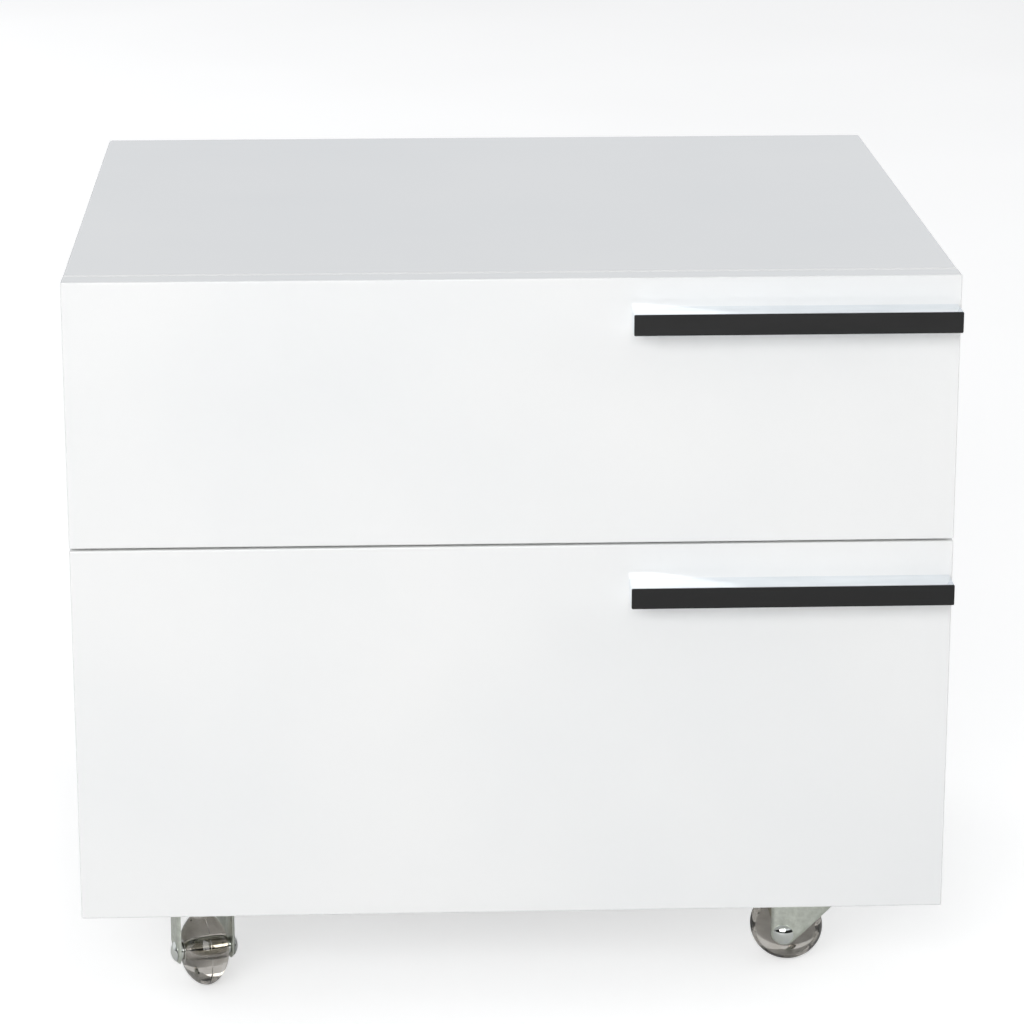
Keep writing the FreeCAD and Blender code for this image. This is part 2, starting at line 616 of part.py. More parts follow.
def make_handle(drawer, masters):
    """A pull that is open from below, the black insert on its lip, and its two screws."""
    name, _, high, _, drop = drawer
    top = f"({high} - {drop})"
    foot = f"({top} - handle_height)"
    pull = node(body(f"{name}_handle"))
    pad(pull, "z", foot, top, [rectangle(HANDLE_LEFT, HANDLE_RIGHT, LIP_FACE, FACE)])
    dress(pull, "Fillet", "handle_edge_radius", lambda at, run: along(run, "y"))
    ends = (f"{HANDLE_LEFT} + handle_end", f"{HANDLE_RIGHT} - handle_end")
    recess = [rectangle(*ends, f"{LIP_FACE} + handle_lip", FACE)]
    pocket(pull, "z", foot, f"{top} - handle_top", recess)
    places = handle_screw_places(drawer)
    pad(pull, "y", f"{LIP_FACE} + handle_lip", FACE, circles=[(x, z, "handle_boss") for x, z in places])
    holes = [(x, z, "handle_screw_diameter + 2 * fit") for x, z in places]
    depth = "(handle_screw_length - front_board + hole_spare)"
    pocket(pull, "y", f"{FACE} - {depth}", FACE, circles=holes)

    insert = node(body(f"{name}_handle_insert"))
    face = f"({FACE} - handle_reach)"
    pad(insert, "y", face, LIP_FACE, [rectangle(HANDLE_LEFT, HANDLE_RIGHT, foot, top)])
    dress(insert, "Fillet", "handle_edge_radius", lambda at, run: along(run, "y"))
    dress(insert, "Fillet", "insert_edge_radius", lambda at, run: near(at.y, face))
    screws = [((x, FRONT_BACK, z), (0, -1, 0)) for x, z in places]
    node(copies(f"{name}_handle_screws", masters["handle_screw"], screws))


def channel(owner, side, web, lips, sheet_name, half, middle, front, length):
    """A C-shaped rail along y. web and lips are its distances from the side panel of the case."""
    thick = sheet_name if value(lips) > value(web) else f"-1 * {sheet_name}"
    inside = f"({web} + {thick})"
    low, high = f"({middle} - {half})", f"({middle} + {half})"
    above, below = f"{low} + {sheet_name}", f"{high} - {sheet_name}"
    corners = ((web, low), (lips, low), (lips, above), (inside, above))
    corners += ((inside, below), (lips, below), (lips, high), (web, high))
    outline = [(mirrored(side, f"{WALL} - {u}"), z) for u, z in corners]
    pad(owner, "y", front, f"{front} + {length}", [outline])
    return owner


def rail(label, side, web, lips, half, middle):
    return channel(body(label), side, web, lips, "rail_sheet", half, middle, RUNNER_FRONT, "runner_length")


def ball_cage(label, side, web, ball_height, middle, masters):
    """A cage with a row of balls above and a row below. ball_height is from the runner's middle."""
    cage = body(label)
    half = f"({ball_height} + cage_sheet / 2)"
    channel(cage, side, web, "cage_lips", "cage_sheet", half, middle, CAGE_FRONT, "cage_length")
    x = mirrored(side, f"{WALL} - ball_line")
    rows = spread(
        f"({CAGE_FRONT} + cage_ball_margin)", f"({CAGE_FRONT} + cage_length - cage_ball_margin)", CAGE_BALLS
    )
    holes = [(x, y, "ball_diameter + 2 * cage_hole_play") for y in rows]
    pocket(cage, "z", f"{middle} - {half}", f"{middle} + {half}", circles=holes)
    places = [((x, y, f"{middle} + {i} * {ball_height}"), (0, 0, 1)) for y in rows for i in (-1, 1)]
    return [cage, copies(f"{label}_balls", masters["ball"], places)]


def make_runners(drawer, masters):
    """The pair of full-extension runners of one drawer: three nested rails and two cages a side."""
    name, middle = drawer[0], drawer_levels(drawer)[3]
    wide = "screw_diameter + 2 * fit"
    holes = [(y, middle, wide) for y in rail_screw_rows()]
    drawer_web = "runner_width"
    middle_rails, outer_cages, inner_cages, screws = [], [], [], []
    ball_seat = "rail_sheet - ball_play - ball_diameter / 2"
    for side_name, side in SIDES:
        label = f"{name}_{side_name}"
        fixed = rail(f"{label}_cabinet_rail", side, "0", "cabinet_rail_reach", CABINET_HALF, middle)
        pocket(node(fixed), "x", *span(side, f"{WALL} - rail_sheet", WALL), circles=holes)
        moving = rail(f"{label}_drawer_rail", side, drawer_web, "drawer_rail_start", DRAWER_HALF, middle)
        pocket(node(moving), "x", *span(side, DRAWER_EDGE, f"{DRAWER_EDGE} + rail_sheet"), circles=holes)
        middle_rails.append(
            rail(f"{label}_middle_rail", side, "middle_rail_start", "middle_rail_reach", MIDDLE_HALF, middle)
        )
        outer, inner = (f"({half} - {ball_seat})" for half in (CABINET_HALF, MIDDLE_HALF))
        outer_cages += ball_cage(f"{label}_outer_cage", side, "outer_cage_start", outer, middle, masters)
        inner_cages += ball_cage(f"{label}_inner_cage", side, "inner_cage_start", inner, middle, masters)
        web = mirrored(side, f"{DRAWER_EDGE} + rail_sheet")
        screws += [((web, y, middle), (-side, 0, 0)) for y in rail_screw_rows()]
    group(f"{name}_middle_rails", middle_rails)
    group(f"{name}_outer_ball_cages", outer_cages)
    group(f"{name}_inner_ball_cages", inner_cages)
    node(copies(f"{name}_drawer_rail_screws", masters["screw"], screws))


def make_fork(label):
    """A pressed steel fork: a crown above the wheel, two legs that end round the axle and turn inward
    behind it, and a wall that joins them."""
    fork = node(body(label))
    chord = "(fork_tip * sqrt(0.5))"
    nose, tail = "(caster_trail + fork_tip)", "(-1 * fork_tail)"
    tail_foot = f"({AXLE_Z} + caster_trail + fork_tail - 2 * {chord})"
    outline = (
        (nose, AXLE_Z),
        (nose, f"{CROWN_TOP} - fork_brow", "fork_brow"),
        (f"{nose} - fork_brow", CROWN_TOP),
        (tail, CROWN_TOP),
        (tail, tail_foot),
        (f"caster_trail - {chord}", f"{AXLE_Z} - {chord}", "fork_tip"),
    )
    half = "(fork_width / 2)"
    pad(fork, "y", f"-{half}", half, [outline])
    fold, beyond = "(caster_trail - fold_offset)", f"({tail} - fork_sheet)"
    slope = f"((fork_width - fork_tail_width) / 2 / ({fold} - {tail}))"
    for _, side in SIDES:
        edge, narrow = (mirrored(side, v) for v in (half, f"({half} - ({fold} - {beyond}) * {slope})"))
        pocket(fork, "z", "0", CROWN_TOP, [((fold, edge), (beyond, edge), (beyond, narrow))])
    dress(fork, "Fillet", "fold_radius", lambda at, run: near(at.x, fold) and along(run, "z"))
    dress(
        fork, "Fillet", "fork_bend",
        lambda at, run: near(at.z, CROWN_TOP) and not along(run, "y") or at.x < 0 and along(run, "z"),
    )
    inner_fold = f"({fold} + fork_sheet * {slope} / (1 + sqrt(1 + {slope} * {slope})))"
    tail_wall = f"({tail} + fork_sheet)"
    inner_half = f"({LEG_INSIDE} - ({inner_fold} - {tail_wall}) * {slope})"
    front = f"{nose} + fork_sheet"
    inside = (
        (front, f"-{LEG_INSIDE}"), (inner_fold, f"-{LEG_INSIDE}"), (tail_wall, f"-{inner_half}"),
        (tail_wall, inner_half), (inner_fold, LEG_INSIDE), (front, LEG_INSIDE),
    )
    pocket(fork, "z", "0", CROWN, [inside])
    pocket(fork, "z", CROWN, CROWN_TOP, circles=[("0", "0", "kingpin_diameter + 2 * kingpin_play")])
    hole = [("caster_trail", AXLE_Z, "axle_diameter + 2 * fit")]
    pocket(fork, "y", f"-{half}", half, circles=hole)
    return fork


def make_axle(label):
    """A domed rivet through both legs, and the bright sleeve that the wheel turns on."""
    rivet, sleeve = body(f"{label}_rivet"), body(f"{label}_sleeve")
    at = ("caster_trail", "0", AXLE_Z)
    dome = "((axle_head * axle_head / 4 + axle_dome * axle_dome) / (2 * axle_dome))"
    half, head, shank = "(fork_width / 2)", "axle_head / 2", "axle_diameter / 2"
    spin(rivet, "y", at, (
        ("0", f"-{half} - axle_dome", dome),
        (head, f"-{half}"),
        (shank, f"-{half}"),
        (shank, half),
        (head, half, dome),
        ("0", f"{half} + axle_dome"),
    ))
    bore, end = "axle_diameter / 2 + fit", f"({LEG_INSIDE} - sleeve_play)"
    spin(sleeve, "y", at, rectangle(bore, "sleeve_diameter / 2", f"-{end}", end))
    return rivet, sleeve


def make_wheel(label):
    """A clear wheel with flat hub faces, rounded flanks and a rounded tread."""
    wheel = node(body(label))
    bore, hub, half = "sleeve_diameter / 2 + wheel_play", "wheel_hub / 2", "(wheel_width / 2)"
    flat = "sqrt(wheel_tread_radius * wheel_tread_radius - wheel_tread * wheel_tread / 4)"
    shoulder = f"(wheel_diameter / 2 - wheel_tread_radius + {flat})"
    spin(wheel, "y", ("caster_trail", "0", AXLE_Z), (
        (bore, f"-{half}"),
        (hub, f"-{half}", "wheel_flank"),
        (shoulder, "-wheel_tread / 2", "wheel_tread_radius"),
        (shoulder, "wheel_tread / 2", "wheel_flank"),
        (hub, half),
        (bore, half),
    ))
    return wheel


def make_plate(label, x, y):
    """A caster's square top plate, with the ring that holds the swivel balls in."""
    plate = node(body(label))
    half = "(plate_side / 2)"
    pad(plate, "z", PLATE_FOOT, BASE, [rectangle(f"-{half}", half, f"-{half}", half)])
    dress(plate, "Fillet", "plate_corner", lambda at, run: along(run, "z"))
    inner = "2 * race_radius + ball_diameter + 2 * race_play"
    ring = [("0", "0", inner), ("0", "0", f"{inner} + 2 * race_wall")]
    pad(plate, "z", f"{CROWN_TOP} + race_play", PLATE_FOOT, circles=ring)
    holes = [(u, v, "screw_diameter + 2 * fit") for u, v in plate_screws()]
    holes.append(("0", "0", "kingpin_diameter + 2 * fit"))
    pocket(plate, "z", PLATE_FOOT, BASE, circles=holes)
    cap = [("0", "0", "kingpin_cap + 2 * fit")]
    pocket(plate, "z", f"{BASE} - kingpin_cap_height", BASE, circles=cap)
    place(plate, x, y)


def make_casters(masters):
    balls, kingpins = [], []
    ball_height = f"{CROWN_TOP} + ball_play + ball_diameter / 2"
    circle = [2 * math.pi * i / SWIVEL_BALLS for i in range(SWIVEL_BALLS)]
    for name, side, end, heading in CASTERS:
        x, y = swivel(side, end)
        make_plate(f"{name}_caster_plate", x, y)
        rivet, sleeve = make_axle(f"{name}_axle")
        for item in (make_fork(f"{name}_fork"), rivet, sleeve, make_wheel(f"{name}_wheel")):
            place(item, x, y, turn=heading)
        group(f"{name}_axle", [rivet, sleeve])
        kingpins.append(((x, y, "0"), (0, 0, 1)))
        for angle in circle:
            ball_x = f"{x} + race_radius * {math.cos(angle):.9f}"
            ball_y = f"{y} + race_radius * {math.sin(angle):.9f}"
            balls.append(((ball_x, ball_y, ball_height), (0, 0, 1)))
    node(copies("caster_kingpins", masters["kingpin"], kingpins))
    node(copies("caster_bearing_balls", masters["ball"], balls))


def write_nodes():
    """Checks the whole document, then writes each node to a STEP file named after its label."""
    doc.recompute()
    failed = [item.Label for item in doc.Objects if {"Invalid", "Error"} & set(item.State)]
    failed += [item.Label for item in nodes if item.Shape.isNull() or not item.Shape.isValid()]
    if failed:
        raise ValueError(f"failed objects: {failed}")
    os.makedirs("parts", exist_ok=True)
    for item in nodes:
        item.Shape.exportStep(f"parts/{item.Label}.step")
    print(len(nodes), "nodes,", sum(len(item.Shape.Solids) for item in nodes), "solids")


def main():
    fill_sheet()
    masters = make_masters()
    make_top()
    for name, side in SIDES:
        make_side(name, side)
    make_bottom()
    make_back()
    make_case_fixings(masters)
    for drawer in DRAWERS:
        make_drawer(drawer, masters)
        make_handle(drawer, masters)
        make_runners(drawer, masters)
    make_casters(masters)
    write_nodes()


main()
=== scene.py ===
import json
import math

import bmesh
import bpy
from bpy.props import FloatProperty, FloatVectorProperty, IntProperty, PointerProperty
from mathutils import Matrix, Vector


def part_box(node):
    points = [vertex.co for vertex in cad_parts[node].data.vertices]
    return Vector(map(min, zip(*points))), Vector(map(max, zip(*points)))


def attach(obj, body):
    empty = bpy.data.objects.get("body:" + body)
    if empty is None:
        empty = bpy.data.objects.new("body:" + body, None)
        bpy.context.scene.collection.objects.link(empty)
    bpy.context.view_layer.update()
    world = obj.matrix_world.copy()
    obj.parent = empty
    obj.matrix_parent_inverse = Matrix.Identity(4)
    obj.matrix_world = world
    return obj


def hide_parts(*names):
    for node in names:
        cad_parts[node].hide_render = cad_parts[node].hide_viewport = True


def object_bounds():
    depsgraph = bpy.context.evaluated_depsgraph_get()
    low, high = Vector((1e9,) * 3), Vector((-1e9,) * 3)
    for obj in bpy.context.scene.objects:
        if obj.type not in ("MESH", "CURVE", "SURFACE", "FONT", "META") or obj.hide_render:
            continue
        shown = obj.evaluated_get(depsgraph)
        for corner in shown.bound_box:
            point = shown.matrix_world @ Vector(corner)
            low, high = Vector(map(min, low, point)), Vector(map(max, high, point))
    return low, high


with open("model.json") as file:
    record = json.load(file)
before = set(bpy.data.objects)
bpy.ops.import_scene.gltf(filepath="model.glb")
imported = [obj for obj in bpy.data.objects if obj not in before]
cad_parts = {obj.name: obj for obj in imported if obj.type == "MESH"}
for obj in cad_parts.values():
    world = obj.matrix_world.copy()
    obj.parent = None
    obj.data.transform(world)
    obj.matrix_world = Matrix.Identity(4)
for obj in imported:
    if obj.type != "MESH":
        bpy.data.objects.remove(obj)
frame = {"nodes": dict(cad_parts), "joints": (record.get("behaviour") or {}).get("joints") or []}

bl_info = {
    "name": "Rolling Pedestal Cabinet",
    "version": (1, 0, 0),
    "blender": (4, 5, 0),
    "location": "3D View > Sidebar > Pedestal",
    "description": "Finishes and detailed pieces of a white two-drawer pedestal on casters",
    "category": "Object",
}

MM = 0.001
DRAWERS = ("upper", "lower")
CORNERS = ("front_left", "front_right", "rear_left", "rear_right")
SIDES = ("left", "right")
START_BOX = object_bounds()


def linear(hex_colour):
    """Turns an sRGB hex colour into a linear RGBA one."""
    parts = [int(hex_colour[i:i + 2], 16) / 255 for i in (1, 3, 5)]
    return (*(c / 12.92 if c <= 0.04045 else ((c + 0.055) / 1.055) ** 2.4 for c in parts), 1.0)


def colour(name, hex_colour, description):
    return FloatVectorProperty(
        name=name, description=description, default=linear(hex_colour), size=4, min=0, max=1, subtype="COLOR"
    )


def length(name, millimetres, description):
    return FloatProperty(
        name=name, description=description, default=millimetres * MM, min=0, precision=5,
        unit="LENGTH", subtype="DISTANCE",
    )


class BoardSettings(bpy.types.PropertyGroup):
    lacquer: colour("Lacquer", "#F5F5F4", "Colour of the gloss lacquer")
    lacquer_shade: colour("Lacquer shade", "#EFF0F0", "Slightly cooler tone that drifts through the lacquer")
    peel_width: length("Orange peel", 9, "Width of the soft waves left by spraying")
    peel_depth: length("Peel depth", 0.004, "Height of the soft waves left by spraying")
    foil: colour("Drawer foil", "#ECECE8", "Colour of the satin foil on the drawer boards")
    foil_shade: colour("Drawer foil shade", "#E2E2DD", "Darker tone of the foil's fine texture")
    foil_grain: length("Foil texture", 1.4, "Width of the pebbles pressed into the foil")
    beech: colour("Beech", "#D8B68C", "Light wood of the dowels")
    beech_grain: colour("Beech grain", "#B98D5E", "Darker flecks of the dowels")


class HandleSettings(bpy.types.PropertyGroup):
    wall: length("Wall", 2.4, "Thickness of the top and the lip")
    end: length("End", 3, "Thickness of the two ends")
    soft_edge: length("Soft edge", 0.4, "Radius polished onto every edge")
    boss: length("Screw boss", 7.6, "Diameter of the bosses for the screws")
    chrome: colour("Chrome", "#F3F7FA", "Bright chrome plate")
    chrome_shade: colour("Chrome shade", "#E6EBEF", "Tone of the chrome's polishing haze")
    black: colour("Black strip", "#070707", "Polished black strip on the lip")
    black_streak: colour("Black streak", "#0E0E0E", "Faint drawn streaks along the black strip")


class RunnerSettings(bpy.types.PropertyGroup):
    zinc: colour("Zinc", "#C6CACD", "Bright zinc on the runner rails")
    zinc_shade: colour("Zinc shade", "#A3A8AC", "Rolling streaks under the zinc")
    cage: colour("Cage steel", "#9A9C9C", "Bare spring steel of the ball cages")
    cage_shade: colour("Cage shade", "#7C7E7E", "Oiled patches on the ball cages")
    screw: colour("Screws", "#BFC3C6", "Zinc on the screws")
    screw_shade: colour("Screw shade", "#9EA3A7", "Dull zinc in the threads")
    balls: colour("Balls", "#CDD0D2", "Polished bearing steel")


class CasterSettings(bpy.types.PropertyGroup):
    steel: colour("Fork steel", "#E4E8DE", "Zinc plate with a greenish passivated tone")
    steel_shade: colour("Fork mottle", "#C6CABF", "Darker mottling of the zinc plate")
    fork_edge: length("Fork edge", 0.22, "Radius tumbled onto the fork's cut edges")
    chrome: colour("Rivet chrome", "#E6E8E8", "Mirror chrome of the rivets and sleeves")
    rivet_rim: length("Rivet rim", 0.25, "Height of the rim under a rivet's dome")
    rubber: colour("Wheel", "#D3CEC6", "Clear polyurethane with a smoky tint")
    rubber_shade: colour("Wheel flow", "#C1BAB0", "Darker flow lines in the polyurethane")
    seam_width: length("Seam width", 0.35, "Width of the moulding seam round the tread")
    seam_height: length("Seam height", 0.09, "Height of the moulding seam round the tread")
    mark_radius: length("Mark circle", 14.6, "Radius at which the moulding pits lie")
    mark_depth: length("Mark depth", 0.9, "Depth of the moulding pits")
    marks: IntProperty(name="Marks", description="Moulding pits on each flank", default=3, min=0, max=8)
    around: IntProperty(
        name="Steps around", description="Faces round a turned piece", default=96, min=24, max=192
    )


class StageSettings(bpy.types.PropertyGroup):
    floor: colour("Floor", "#E8E8E8", "Pale floor")
    floor_glow: FloatProperty(
        name="Floor glow", description="Light of the lit sweep, seen only by the camera", default=0.5, min=0
    )
    room: FloatProperty(name="Room light", description="Soft light from all round", default=0.33, min=0)
    front_power: FloatProperty(
        name="Front softbox", description="Power of the softbox in front", default=56, min=0, unit="POWER"
    )
    top_power: FloatProperty(
        name="Top softbox", description="Power of the softbox above", default=2, min=0, unit="POWER"
    )
    side_power: FloatProperty(
        name="Side softboxes", description="Power of the softboxes on the right and behind",
        default=15, min=0, unit="POWER",
    )
    lens: FloatProperty(
        name="Lens", description="Focal length", default=130.2 * MM, min=0.01,
        subtype="DISTANCE", unit="LENGTH",
    )
    tilt: FloatProperty(
        name="Camera tilt", description="Downward tilt", default=math.radians(16.04),
        subtype="ANGLE", unit="ROTATION",
    )
    turn: FloatProperty(
        name="Camera turn", description="Turn to the right", default=math.radians(2.41),
        subtype="ANGLE", unit="ROTATION",
    )
    camera: FloatVectorProperty(
        name="Camera place", description="Where the camera stands", default=(-0.0681, -1.7688, 0.7036),
        subtype="TRANSLATION", unit="LENGTH",
    )


# ---------------------------------------------------------------- node and mesh helpers


def add_node(tree, kind, settings, inputs):
    """Adds one node. An input given as a socket is linked, and any other value is set on it."""
    node = tree.nodes.new(kind)
    for key, setting in settings.items():
        setattr(node, key, setting)
    for key, value in inputs.items():
        if isinstance(value, bpy.types.NodeSocket):
            tree.links.new(value, node.inputs[key])
        else:
            node.inputs[key].default_value = value
    return node


def new_finish(name):
    """An empty material with its tree and its Object coordinates."""
    made = bpy.data.materials.get(name)
    if made:
        return made, None, None
    made = bpy.data.materials.new(name)
    made.use_nodes = True
    tree = made.node_tree
    tree.nodes.clear()
    place = add_node(tree, "ShaderNodeTexCoord", {}, {}).outputs["Object"]
    return made, tree, place


def stretched(tree, place, sizes):
    """Coordinates in which one unit is the given size in metres along x, y and z."""
    scale = tuple(1 / size for size in sizes)
    return add_node(tree, "ShaderNodeMapping", {}, {"Vector": place, "Scale": scale}).outputs["Vector"]


def cloud(tree, place, sizes, detail=2.0, roughness=0.5):
    """Soft noise whose patches have the given sizes in metres."""
    inputs = {"Vector": stretched(tree, place, sizes), "Scale": 1.0, "Detail": detail, "Roughness": roughness}
    return add_node(tree, "ShaderNodeTexNoise", {}, inputs).outputs["Fac"]


def between(tree, factor, low, high):
    """A number that runs from low to high as the noise does."""
    inputs = {"Value": factor, "From Min": 0.3, "From Max": 0.7, "To Min": low, "To Max": high}
    return add_node(tree, "ShaderNodeMapRange", {}, inputs).outputs["Result"]


def blended(tree, factor, one, other):
    """A colour between two colours."""
    spread = between(tree, factor, 0.0, 1.0)
    mix = add_node(tree, "ShaderNodeMix", {"data_type": "RGBA"}, {0: spread, 6: tuple(one), 7: tuple(other)})
    return mix.outputs[2]


def relief(tree, height, distance, strength=1.0, under=None):
    """A bump whose full height is the given distance in metres."""
    inputs = {"Height": height, "Distance": distance, "Strength": strength}
    if under:
        inputs["Normal"] = under
    return add_node(tree, "ShaderNodeBump", {}, inputs).outputs["Normal"]


def surface(tree, inputs):
    """The principled shader and the output."""
    shader = add_node(tree, "ShaderNodeBsdfPrincipled", {}, inputs)
    add_node(tree, "ShaderNodeOutputMaterial", {}, {"Surface": shader.outputs["BSDF"]})


def coat(finish, *nodes):
    """Gives a finish to carried-over CAD nodes."""
    for name in nodes:
        for slot in frame["nodes"][name].material_slots:
            slot.material = finish


def add_piece(name, mesh, finish, body, replaced, sharp=35):
    """Makes an object of a mesh, lets it ride on a body and stand for CAD nodes."""
    data = bpy.data.meshes.new(name)
    mesh.to_mesh(data)
    mesh.free()
    data.shade_smooth()
    data.set_sharp_from_angle(angle=math.radians(sharp))
    data.materials.append(finish)
    piece = bpy.data.objects.new(name, data)
    bpy.context.scene.collection.objects.link(piece)
    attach(piece, body)
    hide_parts(*replaced)
    return piece


def sharp_edges(mesh, degrees):
    return [e for e in mesh.edges if len(e.link_faces) == 2 and e.calc_face_angle() > math.radians(degrees)]


def soften(mesh, edges, radius, segments):
    bmesh.ops.bevel(
        mesh, geom=edges, offset=radius, offset_type="OFFSET", affect="EDGES",
        segments=segments, profile=0.5, material=-1, clamp_overlap=True,
    )


def merged_copy(node):
    """The CAD node's mesh, merged into whole solids."""
    mesh = bmesh.new()
    mesh.from_mesh(frame["nodes"][node].data)
    bmesh.ops.remove_doubles(mesh, verts=mesh.verts, dist=0.002 * MM)
    return mesh


def solids(node):
    """The lowest and highest corner of each separate solid of a CAD node."""
    mesh, boxes = merged_copy(node), []
    left = set(mesh.verts)
    while left:
        found = [left.pop()]
        for vert in found:
            for edge in vert.link_edges:
                other = edge.other_vert(vert)
                if other in left:
                    left.discard(other)
                    found.append(other)
        boxes.append(tuple(Vector(pick(v.co[i] for v in found) for i in range(3)) for pick in (min, max)))
    mesh.free()
    return boxes


def turned(outline, around, closed=False):
    """A solid turned about Y.

    The outline's corners are (along, out). A third number is the radius of the bulge to the next corner.
    """
    mesh = bmesh.new()
    corners = [mesh.verts.new((0, corner[0], corner[1])) for corner in outline]
    runs = list(zip(corners, corners[1:], outline))
    if closed:
        runs.append((corners[-1], corners[0], outline[-1]))
    for start, end, corner in runs:
        if len(corner) == 2:
            mesh.edges.new((start, end))
            continue
        chord = end.co - start.co
        rise = math.sqrt(corner[2] ** 2 - (chord.length / 2) ** 2)
        centre = (start.co + end.co) / 2 + rise * Vector((1, 0, 0)).cross(chord.normalized()) * -1
        sweep = 2 * math.asin(chord.length / 2 / corner[2])
        bmesh.ops.spin(
            mesh, geom=[start], cent=centre, axis=(1, 0, 0), angle=-sweep, steps=14, use_merge=False,
            use_duplicate=False,
        )
    bmesh.ops.remove_doubles(mesh, verts=mesh.verts, dist=0.001 * MM)
    bmesh.ops.spin(
        mesh, geom=mesh.verts[:] + mesh.edges[:], cent=(0, 0, 0), axis=(0, 1, 0), angle=math.tau,
        steps=around, use_merge=True, use_duplicate=False,
    )
    bmesh.ops.remove_doubles(mesh, verts=mesh.verts, dist=0.001 * MM)
    bmesh.ops.recalc_face_normals(mesh, faces=mesh.faces)
    return mesh


def absorb(whole, extra):
    """Moves one mesh into another."""
    data = bpy.data.meshes.new("extra")
    extra.to_mesh(data)
    extra.free()
    whole.from_mesh(data)
    bpy.data.meshes.remove(data)


def wheel_place(corner):
    """Where a caster's axle lies: its middle, with Y along the axle and Z up."""
    joint = next(j for j in frame["joints"] if j["name"] == f"{corner}_wheel_spin")
    along = Vector(joint["axis"]).normalized()
    up = Vector((0, 0, 1))
    turn = Matrix((along.cross(up), along, up)).transposed()
    return Matrix.Translation(Vector(joint["pos_m"])) @ turn.to_4x4()


# ---------------------------------------------------------------- finishes


def gloss_lacquer(settings):
    # Polyurethane lacquer sprayed on fibreboard and buffed: a hard white gloss with faint, wide waves.
    finish, tree, place = new_finish("gloss_polyurethane_lacquer_on_fibreboard")
    if tree:
        drift = cloud(tree, place, (0.16, 0.16, 0.16))
        haze = cloud(tree, place, (0.045, 0.045, 0.045), 4.0)
        peel = cloud(tree, place, (settings.peel_width,) * 3, 1.0)
        surface(tree, {
            "Base Color": blended(tree, drift, settings.lacquer, settings.lacquer_shade),
            "Roughness": between(tree, haze, 0.05, 0.1),
            "IOR": 1.5,
            "Coat Weight": 0.35,
            "Coat Roughness": 0.03,
            "Normal": relief(tree, peel, settings.peel_depth),
        })
    return finish


def satin_foil(settings):
    # Melamine foil pressed on chipboard: an even satin white with a fine pebbled texture.
    finish, tree, place = new_finish("satin_melamine_foil")
    if tree:
        pebble = cloud(tree, place, (settings.foil_grain,) * 3, 3.0)
        drift = cloud(tree, place, (0.07, 0.07, 0.07))
        surface(tree, {
            "Base Color": blended(tree, pebble, settings.foil, settings.foil_shade),
            "Roughness": between(tree, drift, 0.38, 0.5),
            "IOR": 1.5,
            "Normal": relief(tree, pebble, 0.02 * MM),
        })
    return finish


def beech_wood(settings):
    # Beech turned and fluted: pale wood with short brown flecks along the dowel.
    finish, tree, place = new_finish("turned_beech")
    if tree:
        fleck = cloud(tree, place, (2.5 * MM, 0.6 * MM, 0.6 * MM), 3.0)
        surface(tree, {
            "Base Color": blended(tree, fleck, settings.beech, settings.beech_grain),
            "Roughness": between(tree, fleck, 0.55, 0.7),
            "IOR": 1.5,
            "Normal": relief(tree, fleck, 0.03 * MM),
        })
    return finish


def clear_pad_plastic():
    # Polyurethane cast into small domes: milky, half-clear pads with a soft shine.
    finish, tree, place = new_finish("clear_cast_polyurethane_pad")
    if tree:
        milk = cloud(tree, place, (1.5 * MM,) * 3)
        surface(tree, {
            "Base Color": blended(tree, milk, linear("#F2F2EE"), linear("#E6E6E0")),
            "Roughness": between(tree, milk, 0.08, 0.2),
            "IOR": 1.49,
            "Transmission Weight": 0.3,
        })
    return finish


def plated_steel(name, light, dark, streak, patch, low, high, depth):
    """Plated steel with streaks or mottling of the given size in metres, and its range of roughness."""
    finish, tree, place = new_finish(name)
    if tree:
        streaks = cloud(tree, place, streak, 3.0)
        patches = cloud(tree, place, patch, 4.0, 0.6)
        surface(tree, {
            "Base Color": blended(tree, patches, light, dark),
            "Metallic": 1.0,
            "Roughness": between(tree, streaks, low, high),
            "Normal": relief(tree, streaks, depth),
        })
    return finish


def rolled_zinc(settings):
    # Zinc plated on cold-rolled strip: bright grey with streaks that run along the rail.
    return plated_steel(
        "bright_zinc_on_rolled_strip", settings.zinc, settings.zinc_shade,
        (0.8 * MM, 60 * MM, 0.8 * MM), (9 * MM, 40 * MM, 9 * MM), 0.2, 0.36, 0.006 * MM,
    )


def cage_steel(settings):
    # Stamped spring steel, oiled and not plated: a darker grey with soft patches.
    return plated_steel(
        "stamped_spring_steel", settings.cage, settings.cage_shade,
        (1.2 * MM,) * 3, (5 * MM,) * 3, 0.28, 0.42, 0.006 * MM,
    )


def screw_zinc(settings):
    # Zinc barrel-plated on screws: small bright grains and dull hollows.
    return plated_steel(
        "barrel_plated_zinc", settings.screw, settings.screw_shade,
        (0.7 * MM,) * 3, (2 * MM,) * 3, 0.2, 0.38, 0.008 * MM,
    )


def ball_steel(settings):
    # Bearing steel ground and lapped: nearly mirror-bright.
    return plated_steel(
        "lapped_bearing_steel", settings.balls, settings.zinc_shade,
        (1 * MM,) * 3, (3 * MM,) * 3, 0.06, 0.12, 0.001 * MM,
    )


def handle_chrome(settings):
    # Chrome plated on a polished zinc casting: a cool mirror with a little polishing haze.
    return plated_steel(
        "chrome_on_polished_casting", settings.chrome, settings.chrome_shade,
        (14 * MM, 1.2 * MM, 1.2 * MM), (30 * MM, 8 * MM, 8 * MM), 0.05, 0.11, 0.0015 * MM,
    )


def rivet_chrome(settings):
    # Chrome plated on turned and polished steel: a clean mirror.
    return plated_steel(
        "mirror_chrome_on_turned_steel", settings.chrome, settings.steel,
        (3 * MM,) * 3, (7 * MM,) * 3, 0.03, 0.07, 0.001 * MM,
    )


